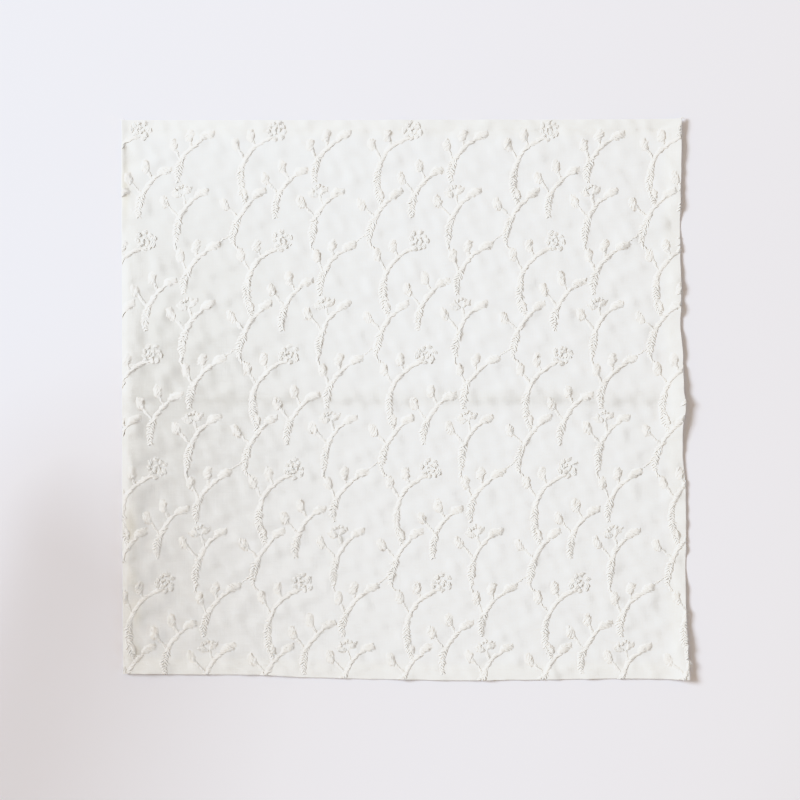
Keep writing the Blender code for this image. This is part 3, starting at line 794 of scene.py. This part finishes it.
def satin_tree():
    """Threads laid side by side across a line, each one an arch over the padding."""
    tree = Tree("satin_stitch", ("Spacing", "Slant", "Thread Width", "Plumpness", "Looseness", "Arch Steps"))
    points = tree.spaced_points()
    sockets = {"Resolution": SATIN_SIDES, "Radius": tree.given["Plumpness"]}
    profile = tree.node("GeometryNodeCurvePrimitiveCircle", sockets)
    arch = tree.node("GeometryNodeCurvePrimitiveBezierSegment", {
        "Resolution": tree.given["Arch Steps"],
        "Start": (0.0, -1.0, 0.0),
        "Start Handle": (0.0, -ARCH_SPREAD, ARCH_TOP),
        "End Handle": (0.0, ARCH_SPREAD, ARCH_TOP),
        "End": (0.0, 1.0, 0.0),
    })
    sockets = {"Curve": arch, "Profile Curve": profile, "Fill Caps": True}
    thread = tree.node("GeometryNodeCurveToMesh", sockets)
    lean = tree.math("ADD", tree.given["Slant"], tree.carried("lean"))
    slant = tree.uneven(lean, tree.math("MULTIPLY", tree.given["Looseness"], SLANT_LOOSENESS), 0)
    rotation = tree.turned_along(tree.vector(0.0, 0.0, slant))
    scale = tree.vector(
        tree.math("DIVIDE", tree.given["Thread Width"], tree.math("MULTIPLY", tree.given["Plumpness"], 2.0)),
        tree.math("MULTIPLY", tree.carried("half"), tree.uneven(1.0, tree.given["Looseness"], 1)),
        tree.math("MULTIPLY", tree.carried("rise"), tree.uneven(1.0, tree.given["Looseness"], 2)),
    )
    tree.sew(points, thread, rotation, scale)
    return tree.group


def loose_tree():
    """A loose thread along each line."""
    tree = Tree("loose_threads", ("Thread Width",))
    curves = tree.node("GeometryNodeMeshToCurve", {"Mesh": tree.given["Lines"]})
    radius = tree.math("DIVIDE", tree.given["Thread Width"], 2.0)
    profile = tree.node("GeometryNodeCurvePrimitiveCircle", {"Resolution": LOOSE_SIDES, "Radius": radius})
    sockets = {"Curve": curves, "Profile Curve": profile, "Fill Caps": True}
    tree.end(tree.node("GeometryNodeCurveToMesh", sockets))
    return tree.group


def guide_mesh(lines):
    """A mesh of loose lines that carry the half length, the height and the lean of the stitches on them."""
    counts = [len(line.points) for line in lines]
    starts = np.cumsum([0] + counts[:-1])
    flat = np.concatenate([line.points for line in lines])
    if flat.shape[1] == 2:
        flat = np.hstack((flat, np.zeros((len(flat), 1))))
    edges = [(start + n, start + n + 1) for start, count in zip(starts, counts) for n in range(count - 1)]
    mesh = bpy.data.meshes.new("lines")
    mesh.from_pydata(flat, edges, [])
    for name, field in (("half", "halves"), ("rise", "rises"), ("lean", "leans")):
        attribute = mesh.attributes.new(name, "FLOAT", "POINT")
        attribute.data.foreach_set("value", np.concatenate([getattr(line, field) for line in lines]))
    return mesh


def sewn(lines, group, thread, seed, sizes):
    """The stitches that a tree makes on lines, as a plain mesh."""
    guide = bpy.data.objects.new("lines", guide_mesh(lines))
    bpy.context.scene.collection.objects.link(guide)
    modifier = guide.modifiers.new("stitching", "NODES")
    modifier.node_group = group
    given = {"Seed": seed, "Thread": thread, **sizes}
    for item in group.interface.items_tree:
        if item.name in given:
            modifier[item.identifier] = given[item.name]
    depsgraph = bpy.context.evaluated_depsgraph_get()
    mesh = bpy.data.meshes.new_from_object(guide.evaluated_get(depsgraph))
    bpy.data.objects.remove(guide)
    return mesh


def lay_on_cloth(mesh):
    """Moves stitches that were made flat onto the cloth, and folds what passes its edge down round it."""
    points = np.empty(len(mesh.vertices) * 3)
    mesh.vertices.foreach_get("co", points)
    x, y, z = points.reshape(-1, 3).T
    sideways, upward, squash = (waves(x, y, seed, HAND_WAVES, HAND_SHORT, HAND_LONG) for seed in HAND_SEEDS)
    z = np.where(z > 0.0, z * (1.0 + HAND_SQUASH * squash), z)
    x = x + HAND_SHIFT * sideways
    y = y + HAND_SHIFT * upward
    over = np.maximum(0.0, -inward(x, y)[0])
    x = x - over[0] + over[1]
    y = y - over[2] + over[3]
    z = z + cloth_top(x, y) - SEWING_SLACK - over.sum(axis=0)
    laid = np.stack((x, y, np.maximum(z, underside(x, y) + SEWING_SLACK)), axis=1)
    mesh.vertices.foreach_set("co", laid.ravel())


def finished(name, mesh):
    """A piece of the handkerchief in metres, on the cloth's one body."""
    mesh.name = name
    mesh.transform(Matrix.Scale(MM, 4))
    piece = bpy.data.objects.new(name, mesh)
    bpy.context.scene.collection.objects.link(piece)
    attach(piece, BODY)
    return piece


def embroidered(name, lines, group, thread, seed, sizes):
    mesh = sewn(lines, group, thread, seed, sizes)
    lay_on_cloth(mesh)
    return finished(name, mesh)


def frayed_lines():
    """Loose thread ends that stick out at the edge."""
    rng = np.random.default_rng(FRAY_SEED)
    lines = []
    t = np.linspace(0.0, 1.0, FRAY_POINTS)
    for tuft in TUFTS:
        for thread in range(tuft.threads):
            turn = math.radians(tuft.turn + tuft.spread * rng.uniform(-0.5, 0.5))
            curl = rng.uniform(-FRAY_CURL, FRAY_CURL)
            length = tuft.length * rng.uniform(FRAY_SHORTEST, 1.0)
            x = tuft.x + rng.uniform(*FRAY_ROOT_X) + np.cos(turn + curl * t) * length * t
            y = tuft.y + rng.uniform(*FRAY_ROOT_Y) + np.sin(turn + curl * t) * length * t
            z = tuft.height + rng.uniform(*FRAY_ROOT_HEIGHT) - t * t * rng.uniform(*FRAY_DROOP)
            lines.append(even_line(np.stack((x, y, np.maximum(z, FRAY_LOWEST)), axis=1), 1.0, 1.0))
    return lines


class Finish:
    """A material in the making, on a Principled shader."""

    def __init__(self, name, roughness, sheen, sheen_roughness, specular):
        self.material = bpy.data.materials.new(name)
        self.material.use_nodes = True
        self.tree = self.material.node_tree
        self.shader = self.tree.nodes["Principled BSDF"]
        self.shader.inputs["Roughness"].default_value = roughness
        self.shader.inputs["Sheen Weight"].default_value = sheen
        self.shader.inputs["Sheen Roughness"].default_value = sheen_roughness
        self.shader.inputs["Specular IOR Level"].default_value = specular
        self.place = self.tree.nodes.new("ShaderNodeTexCoord").outputs["Object"]

    def node(self, kind, sockets=None, output=0, **settings):
        node = self.tree.nodes.new(kind)
        for name, value in settings.items():
            setattr(node, name, value)
        for key, value in (sockets or {}).items():
            if isinstance(value, bpy.types.NodeSocket):
                self.tree.links.new(value, node.inputs[key])
            else:
                node.inputs[key].default_value = value
        return node.outputs[output]

    def math(self, operation, first, second=0.0):
        return self.node("ShaderNodeMath", {0: first, 1: second}, operation=operation)

    def noise(self, stretch, scale, detail=2.0):
        """Noise from 0 to 1 whose blotches are drawn out along the axes by the stretch."""
        sockets = {"Vector": self.place, "Scale": tuple(1.0 / length for length in stretch)}
        spread = self.node("ShaderNodeMapping", sockets)
        return self.node("ShaderNodeTexNoise", {"Vector": spread, "Scale": scale, "Detail": detail})

    def ranged(self, value, low, high, from_low=0.3, from_high=0.7):
        """A number taken from one range to another."""
        sockets = {"Value": value, "From Min": from_low, "From Max": from_high, "To Min": low, "To Max": high}
        return self.node("ShaderNodeMapRange", sockets)

    def tinted(self, colour, by):
        """A colour made lighter or darker by a number about 1."""
        grey = self.node("ShaderNodeCombineColor", {"Red": by, "Green": by, "Blue": by})
        sockets = {"Factor": 1.0, 6: colour, 7: grey}
        return self.node("ShaderNodeMix", sockets, output=2, data_type="RGBA", blend_type="MULTIPLY")

    def mixed(self, first, second, by):
        return self.node("ShaderNodeMix", {0: by, 6: first, 7: second}, output=2, data_type="RGBA")

    def finish(self, colour, height, depth):
        """Ends the material with its colour and with bumps of a depth in millimetres."""
        sockets = {"Height": height, "Distance": depth * MM, "Strength": 1.0}
        bump = self.node("ShaderNodeBump", sockets)
        self.tree.links.new(colour, self.shader.inputs["Base Color"])
        self.tree.links.new(bump, self.shader.inputs["Normal"])
        return self.material


# Linen: the pitch of its threads, how softly they cross and how much they add to the bumps beside the slubs,
# the slubs' stretch and scale, the blotches' scale, and the bumps' depth.
THREAD_PITCH = 0.5
WEAVE_SOFTNESS = 0.3
WEAVE_SHARE = 0.5
SLUB_LENGTH = 14.0
SLUB_WIDTH = 0.6
SLUB_SCALE = 900.0
BLOTCH_SCALE = 70.0
LINEN_DEPTH = 0.07

# Embroidery thread: its fibres' scale and depth, and the scale of its lighter and darker stretches.
FIBRE_SCALE = 4500.0
FIBRE_DEPTH = 0.05
THREAD_SHADE_SCALE = 240.0

# The whites of the linen, of the hem's three layers and of the thread, and how much the hem has of its own.
LINEN_WHITE = (0.89, 0.886, 0.882, 1.0)
LINEN_SHADE = (0.87, 0.868, 0.866, 1.0)
# The darker tint of the left side and the crease; along the crease it is partly painted shade.
LINEN_TINT_AND_SHADE = (0.68, 0.664, 0.632, 1.0)
# The stains' colour, which at the upper left hem is partly painted shadow.
LINEN_STAIN_AND_SHADE = (0.80, 0.762, 0.67, 1.0)
HEM_WHITE = (0.89, 0.88, 0.855, 1.0)
HEM_SHARE = 0.7
EMBROIDERY_WHITE = (0.955, 0.935, 0.905, 1.0)


def linen():
    """Plain-woven linen: threads over and under one another, with slubs, and creamier in the hem."""
    finish = Finish("white_linen", roughness=0.88, sheen=0.15, sheen_roughness=0.5, specular=0.25)
    axes = finish.node("ShaderNodeSeparateXYZ", {"Vector": finish.place})
    x, y = axes, axes.node.outputs["Y"]
    across = finish.math("SINE", finish.math("MULTIPLY", x, math.pi / (THREAD_PITCH * MM)))
    along = finish.math("SINE", finish.math("MULTIPLY", y, math.pi / (THREAD_PITCH * MM)))
    crossing = finish.math("MULTIPLY", across, along)
    over = finish.ranged(crossing, 0.0, 1.0, -WEAVE_SOFTNESS, WEAVE_SOFTNESS)
    warp = finish.math("MULTIPLY", finish.math("ABSOLUTE", across), over)
    weft = finish.math("MULTIPLY", finish.math("ABSOLUTE", along), finish.math("SUBTRACT", 1.0, over))
    weave = finish.math("ADD", warp, weft)
    warp_slubs = finish.noise((SLUB_WIDTH, SLUB_LENGTH, 1.0), SLUB_SCALE)
    weft_slubs = finish.noise((SLUB_LENGTH, SLUB_WIDTH, 1.0), SLUB_SCALE)
    slubs = finish.math("ADD", warp_slubs, weft_slubs)
    height = finish.math("ADD", finish.math("MULTIPLY", weave, WEAVE_SHARE), slubs)
    blotches = finish.ranged(finish.noise((1.0, 1.0, 1.0), BLOTCH_SCALE, 4.0), 0.0, 1.0)
    ground = finish.mixed(LINEN_SHADE, LINEN_WHITE, blotches)
    tint_and_shade, in_hem, stain_and_shade = (
        finish.node("ShaderNodeAttribute", output=2, attribute_name=name)
        for name in ("tint_and_shade", "hem", "stain_and_shade")
    )
    # The darker tint of the left side, which along the crease is partly painted shade.
    cloth = finish.mixed(ground, LINEN_TINT_AND_SHADE, tint_and_shade)
    cloth = finish.mixed(cloth, HEM_WHITE, finish.math("MULTIPLY", in_hem, HEM_SHARE))
    # Stains on the hem, at the upper left partly painted shadow of the hem's roll.
    cloth = finish.mixed(cloth, LINEN_STAIN_AND_SHADE, stain_and_shade)
    threads = finish.ranged(slubs, 0.975, 1.02, 0.7, 1.3)
    return finish.finish(finish.tinted(cloth, threads), height, LINEN_DEPTH)


def thread_finish():
    """Mercerised white thread, with a soft gloss and fine fibres."""
    finish = Finish("embroidery_thread", roughness=0.45, sheen=0.2, sheen_roughness=0.4, specular=0.5)
    fibres = finish.noise((1.0, 1.0, 1.0), FIBRE_SCALE, 3.0)
    shade = finish.ranged(finish.noise((1.0, 1.0, 1.0), THREAD_SHADE_SCALE, 3.0), 0.96, 1.02)
    return finish.finish(finish.tinted(EMBROIDERY_WHITE, shade), fibres, FIBRE_DEPTH)


# What the stitches of each kind are given: millimetres, and radians for the slant.
SATIN = {"Slant": 0.5, "Thread Width": 0.85, "Plumpness": 0.28, "Looseness": 0.12, "Arch Steps": 5.0}
LEAF_SIZES = {**SATIN, "Spacing": 0.65}
PETAL_SIZES = {**SATIN, "Spacing": 0.75, "Slant": 0.2}
CORD_SIZES = {
    **SATIN, "Spacing": 1.7, "Slant": 1.15, "Thread Width": 1.4, "Plumpness": 0.5, "Looseness": 0.15,
}
PADDING_SIZES = {**SATIN, "Spacing": 0.9, "Slant": 0.0, "Thread Width": 1.1, "Arch Steps": 4.0}
STRAND_SIZES = {
    **SATIN, "Spacing": 1.8, "Slant": 0.0, "Thread Width": 1.3, "Plumpness": 0.45, "Looseness": 0.28,
}
TWIG_SIZES = {**SATIN, "Spacing": 0.8, "Slant": 0.7, "Looseness": 0.2, "Arch Steps": 4.0}
SEAM_SIZES = {**SATIN, "Spacing": 2.5, "Slant": math.pi / 2.0, "Thread Width": 0.3, "Arch Steps": 4.0}


def make_pieces():
    thread = thread_finish()
    satin = satin_tree()
    stems = thin_stems()
    padding = thick_stems(0.0, PADDING_HALF, PADDING_RISE)
    stem_lines = in_every_repeat(stems) + in_every_repeat(joins())
    flower_lines = in_every_repeat(blossoms(), spinning=True) + in_every_repeat(flower_petals())
    stitching = [
        embroidered("leaves", in_every_repeat(leaves()), satin, thread, 1, LEAF_SIZES),
        embroidered("buds", in_every_repeat(buds()), satin, thread, 2, LEAF_SIZES),
        embroidered("thin_stems", stem_lines, satin, thread, 3, CORD_SIZES),
        embroidered("stem_padding", in_every_repeat(padding), satin, thread, 4, PADDING_SIZES),
        embroidered("stem_strands", in_every_repeat(strands()), satin, thread, 5, STRAND_SIZES),
        embroidered("twigs", in_every_repeat(twigs() + flower_stems()), satin, thread, 6, TWIG_SIZES),
        embroidered("flowers", flower_lines, satin, thread, 7, PETAL_SIZES),
        embroidered("hem_seam", hem_seam(), satin, thread, 8, SEAM_SIZES),
    ]
    finished("frayed_threads", sewn(frayed_lines(), loose_tree(), thread, 9, {"Thread Width": FRAY_WIDTH}))
    cloth = finished("linen_cloth", cloth_mesh())
    cloth.data.materials.append(linen())
    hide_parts(CLOTH_NODE)


# The table, the lamps, the shade card and the sky in metres and degrees, and the camera in millimetres.
FLOOR_HALF = 3.0
FLOOR_WHITE = (0.89, 0.874, 0.914, 1.0)
KEY_ELEVATION = 38.0
KEY_TURN = 162.0
LAMP_DISTANCE = 2.75
KEY_WIDTH = 1.24
KEY_POWER = 96.5
KEY_COLOUR = (0.79, 0.895, 1.0)
FILL_ELEVATION = 14.0
FILL_TURN = -18.0
FILL_SPREAD = 28.0
FILL_STRENGTH = 0.675
FILL_COLOUR = (0.375, 0.67, 1.0)
CARD_DISTANCE = 0.5
CARD_RIGHT = -0.076
CARD_TOP = -0.041
CARD_LENGTH = 0.54
CARD_WIDTH = 0.08
SKY_COLOUR = (0.516, 0.429, 0.333, 1.0)
SKY_STRENGTH = 1.0
CAMERA_X = -3.9
CAMERA_Y = -0.2
VIEW_WIDTH = 569.6
LENS = 85.0


def direction(elevation, turn):
    """The way to a light, from its height and its turn from +X in degrees."""
    elevation = math.radians(elevation)
    turn = math.radians(turn)
    level = math.cos(elevation)
    return Vector((math.cos(turn) * level, math.sin(turn) * level, math.sin(elevation)))


def hang_lamp(light, way):
    """Hangs a light so that it shines on the cloth from its own way."""
    lamp = bpy.data.objects.new(light.name, light)
    lamp.location = way * LAMP_DISTANCE
    lamp.rotation_euler = way.to_track_quat("Z", "Y").to_euler()
    bpy.context.scene.collection.objects.link(lamp)


def make_stage():
    """A plain pale table, soft light from the left, and a camera that looks straight down."""
    floor_mesh = bpy.data.meshes.new("table")
    corners = [(-FLOOR_HALF, -FLOOR_HALF, 0.0), (FLOOR_HALF, -FLOOR_HALF, 0.0)]
    corners += [(FLOOR_HALF, FLOOR_HALF, 0.0), (-FLOOR_HALF, FLOOR_HALF, 0.0)]
    floor_mesh.from_pydata(corners, [], [(0, 1, 2, 3)])
    surface = Finish("pale_table", roughness=0.6, sheen=0.0, sheen_roughness=0.5, specular=0.2)
    shade = surface.ranged(surface.noise((1.0, 1.0, 1.0), 3.0), 0.99, 1.01)
    surface.tree.links.new(surface.tinted(FLOOR_WHITE, shade), surface.shader.inputs["Base Color"])
    floor_mesh.materials.append(surface.material)
    floor = bpy.data.objects.new("table", floor_mesh)
    bpy.context.scene.collection.objects.link(floor)

    key = bpy.data.lights.new("key", "AREA")
    key.shape = "DISK"
    key.size = KEY_WIDTH
    key.energy = KEY_POWER
    key.color = KEY_COLOUR
    to_light = direction(KEY_ELEVATION, KEY_TURN)
    hang_lamp(key, to_light)

    fill = bpy.data.lights.new("fill", "SUN")
    fill.angle = math.radians(FILL_SPREAD)
    fill.energy = FILL_STRENGTH
    fill.color = FILL_COLOUR
    hang_lamp(fill, direction(FILL_ELEVATION, FILL_TURN))

    # A card outside the picture takes some of the light from the lower left corner, as in the photograph.
    aside = direction(0.0, KEY_TURN - 90.0)
    upright = aside.cross(to_light)
    corner = to_light * CARD_DISTANCE + aside * CARD_RIGHT + upright * CARD_TOP
    corners = [
        corner - aside * (a * CARD_LENGTH) - upright * (b * CARD_WIDTH)
        for a, b in ((0.0, 0.0), (1.0, 0.0), (1.0, 1.0), (0.0, 1.0))
    ]
    card_mesh = bpy.data.meshes.new("shade_card")
    card_mesh.from_pydata(corners, [], [(0, 1, 2, 3)])
    card_mesh.materials.append(surface.material)
    card = bpy.data.objects.new("shade_card", card_mesh)
    card.visible_camera = False
    bpy.context.scene.collection.objects.link(card)

    world = bpy.data.worlds.new("room")
    world.use_nodes = True
    world.node_tree.nodes["Background"].inputs["Color"].default_value = SKY_COLOUR
    world.node_tree.nodes["Background"].inputs["Strength"].default_value = SKY_STRENGTH
    bpy.context.scene.world = world

    lens = bpy.data.cameras.new("camera")
    lens.lens = LENS
    camera = bpy.data.objects.new("camera", lens)
    distance = VIEW_WIDTH * LENS / lens.sensor_width
    camera.location = (CAMERA_X * MM, CAMERA_Y * MM, distance * MM)
    bpy.context.scene.collection.objects.link(camera)
    bpy.context.scene.camera = camera
    bpy.context.scene.view_settings.view_transform = "Khronos PBR Neutral"


make_pieces()
make_stage()
